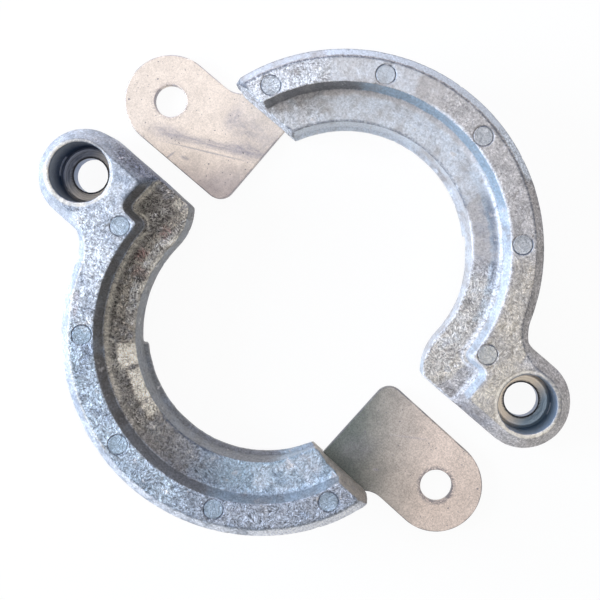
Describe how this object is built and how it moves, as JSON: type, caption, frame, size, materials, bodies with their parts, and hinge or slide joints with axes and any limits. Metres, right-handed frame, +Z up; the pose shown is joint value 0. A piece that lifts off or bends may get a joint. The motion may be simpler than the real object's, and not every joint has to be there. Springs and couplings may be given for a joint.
{
  "type": "split ring sacrificial anode",
  "caption": "Split zinc ring anode with loose halves, each a stepped half ring with a counterbored bolt boss at one end and a cast-in steel strap tab at the other.",
  "frame": {"origin": "middle of the laid-out pair, on the surface that it lies on", "axes": "+Z up, along the ring axis of both halves and away from their flat underside; +X to the right and +Y away in the picture, which looks straight down"},
  "size_m": [0.1611, 0.15, 0.025],
  "materials": {
    "zinc": "as cast, matte to satin, light grey zinc",
    "steel": "dull plated sheet, lightly scuffed"
  },
  "bodies": {
    "root": {"half_ring_left": "zinc", "strap_left": "steel", "half_ring_right": "zinc", "strap_right": "steel"}
  },
  "joints": []
}
